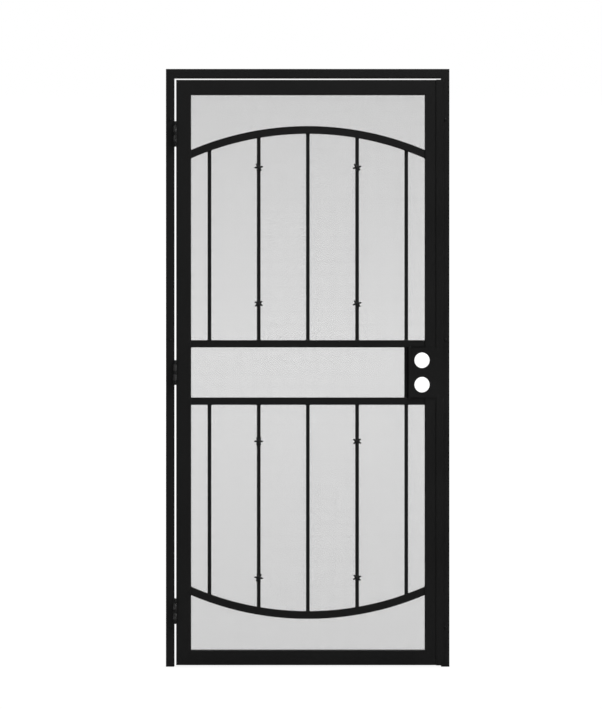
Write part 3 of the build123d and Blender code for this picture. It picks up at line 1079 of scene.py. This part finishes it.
SMALL_SCREW = 0.62  # the scale of the screen's screws
SCREW_INSET = 3.9 * MM  # from the edge of the screen's frame
SIDE_SCREWS = 7
BOX_ROOM = 0.02  # kept free above and below the lock box
low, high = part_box("screen_frame")
x0, x1 = low.x + SCREW_INSET, high.x - SCREW_INSET
z0, z1 = low.z + SCREW_INSET, high.z - SCREW_INSET
rows = [z0 + (z1 - z0) * n / (SIDE_SCREWS - 1) for n in range(SIDE_SCREWS)]
beside_box = [z for z in rows if box_low.z - BOX_ROOM < z < box_high.z + BOX_ROOM]
thirds = [x0 + (x1 - x0) * n / 3 for n in (1, 2)]
back_points = [Vector((x0, high.y, z)) for z in rows]
back_points += [Vector((x1, high.y, z)) for z in rows if z not in beside_box]
back_points += [Vector((x, high.y, z)) for x in thirds for z in (z0, z1)]
set_screws("screen_screws", back_points, SMALL_SCREW, TOWARDS_BACK, screw_black, "leaf")
bpy.data.objects.remove(screw_head)

# %% [markdown]
# ## Light
# The photograph has one soft light from above and from the right: it draws thin shadows down
# the ends of the rails beside the lock stile and under the lock box. A level one on the
# same side lights the hinges' knuckles, and a weak one on the left keeps the shadows open.
# Two more stand behind the door for the views from there. A sun lamp would throw hard
# shadows, while an area light's are the softer the larger it is.

# %% Light the scene
LIGHTS = (  # name, direction from the door's middle, distance, size, power in watts
    ("key", (1.0, -1.0, 2.2), 6.0, 2.2, 195),
    ("fill", (-1.2, -2.4, 0.9), 7.0, 4.0, 33),
    ("side", (0.82, -0.57, 0.05), 5.0, 1.6, 34),
    ("back_key", (-1.4, 1.5, 1.9), 6.0, 1.6, 160),
    ("back_fill", (1.6, 2.2, 0.7), 7.0, 4.0, 60),
)
door_middle = (cad_box[0] + cad_box[1]) / 2

for name, direction, distance, size, power in LIGHTS:
    data = bpy.data.lights.new(name, "AREA")
    data.shape = "DISK"
    data.size = size
    data.energy = power
    lamp = bpy.data.objects.new(name, data)
    away = Vector(direction).normalized()
    lamp.location = door_middle + away * distance
    lamp.rotation_euler = away.to_track_quat("Z", "Y").to_euler()
    bpy.context.scene.collection.objects.link(lamp)
    print(name, "light at", [round(c, 2) for c in lamp.location])

# %% [markdown]
# ## White ground
# The photograph's ground is blown out to white, and only the screen, which dims it, shows
# that it is brighter behind the middle of the door. A white wall would do, but its light
# would grey the coat. So the sky is white to the camera, and a little whiter near the
# horizon, while other rays meet a studio that is dim in front of the door and bright behind
# it. The Light Path node tells the two kinds of ray apart.

# %% Make the sky
WHITE = (1.0, 1.0, 1.0, 1.0)
GLOW = 0.155  # how much brighter than white the ground is at the horizon
GLOW_SPREAD = 0.09  # the slope of the line of sight at which that ends
DIM, BRIGHT = 0.06, 0.5  # the studio's light in front of the door and behind it
FULLY_BEHIND = 0.7  # a ray's share along Y where the studio is brightest

world = bpy.data.worlds.new("studio")
world.use_nodes = True
bpy.context.scene.world = world
sky = world.node_tree
direction = put(sky, "ShaderNodeSeparateXYZ", {0: put(sky, "ShaderNodeTexCoord").outputs["Generated"]})
slope = math_node(sky, "ABSOLUTE", direction.outputs["Z"])
seen = sky.nodes["Background"]
seen.inputs["Color"].default_value = WHITE
sky.links.new(remap(sky, slope, GLOW_SPREAD, 0.0, 1.0, 1.0 + GLOW), seen.inputs["Strength"])
studio = remap(sky, direction.outputs["Y"], 0.0, FULLY_BEHIND, DIM, BRIGHT)
lit = put(sky, "ShaderNodeBackground", {"Color": WHITE, "Strength": studio})
by_camera = put(sky, "ShaderNodeLightPath").outputs["Is Camera Ray"]
mix = put(sky, "ShaderNodeMixShader", {0: by_camera, 1: lit.outputs[0], 2: seen.outputs[0]})
sky.links.new(mix.outputs[0], sky.nodes["World Output"].inputs["Surface"])
bpy.context.scene.view_settings.view_transform = "Standard"
print("sky from 1.0 to", 1.0 + GLOW)

# %% [markdown]
# The floor is pale too. Its glow grows with how far each spot is from the door, on every
# side alike, and meets the sky's where they touch, so that no horizon shows. A line of
# sight that meets the floor far off is nearly level, and its slope is the eye's height over
# the distance. The Ambient Occlusion node lays a faint soft shade at the door's feet.

# %% Lay the floor
FLOOR_REACH = 150
FLOOR_SPREAD = 0.12  # as GLOW_SPREAD, for the floor, whose glow fades more slowly
FLOOR_GREY = (0.45, 0.45, 0.45, 1.0)  # what it throws back on the door
SHADE_REACH = 0.12
SHADE_ENDS = 0.9  # how open a spot is where the shade has gone
DARKEST_SHADE = 0.86

corners = [(x * FLOOR_REACH, y * FLOOR_REACH, 0) for x, y in ((-1, -1), (1, -1), (1, 1), (-1, 1))]
floor = sketch("floor", corners, faces=[(0, 1, 2, 3)])
pale_floor, tree, surface = new_material("pale_floor", (0.8, 0.8, 0.8))
surface.inputs["Base Color"].default_value = FLOOR_GREY
surface.inputs["Roughness"].default_value = 0.9
off = put(tree, "ShaderNodeVectorMath", {0: on_object(tree)}, operation="LENGTH").outputs["Value"]
drop = math_node(tree, "DIVIDE", EYE_HEIGHT, math_node(tree, "ADD", off, CAMERA_DISTANCE))
level = remap(tree, drop, FLOOR_SPREAD, 0.0, 1.0, 1.0 + GLOW)
contact = put(tree, "ShaderNodeAmbientOcclusion", {"Distance": SHADE_REACH}, samples=8).outputs["AO"]
shade = remap(tree, contact, 0.0, SHADE_ENDS, DARKEST_SHADE, 1.0)
shaded = math_node(tree, "MULTIPLY", shade, level)
glow = put(tree, "ShaderNodeEmission", {"Strength": shaded})
by_camera = put(tree, "ShaderNodeLightPath").outputs["Is Camera Ray"]
choose = put(tree, "ShaderNodeMixShader", {0: by_camera, 1: surface.outputs[0], 2: glow.outputs[0]})
tree.links.new(choose.outputs[0], tree.nodes["Material Output"].inputs["Surface"])
floor.data.materials.append(pale_floor)
print("floor", tuple(floor.dimensions))
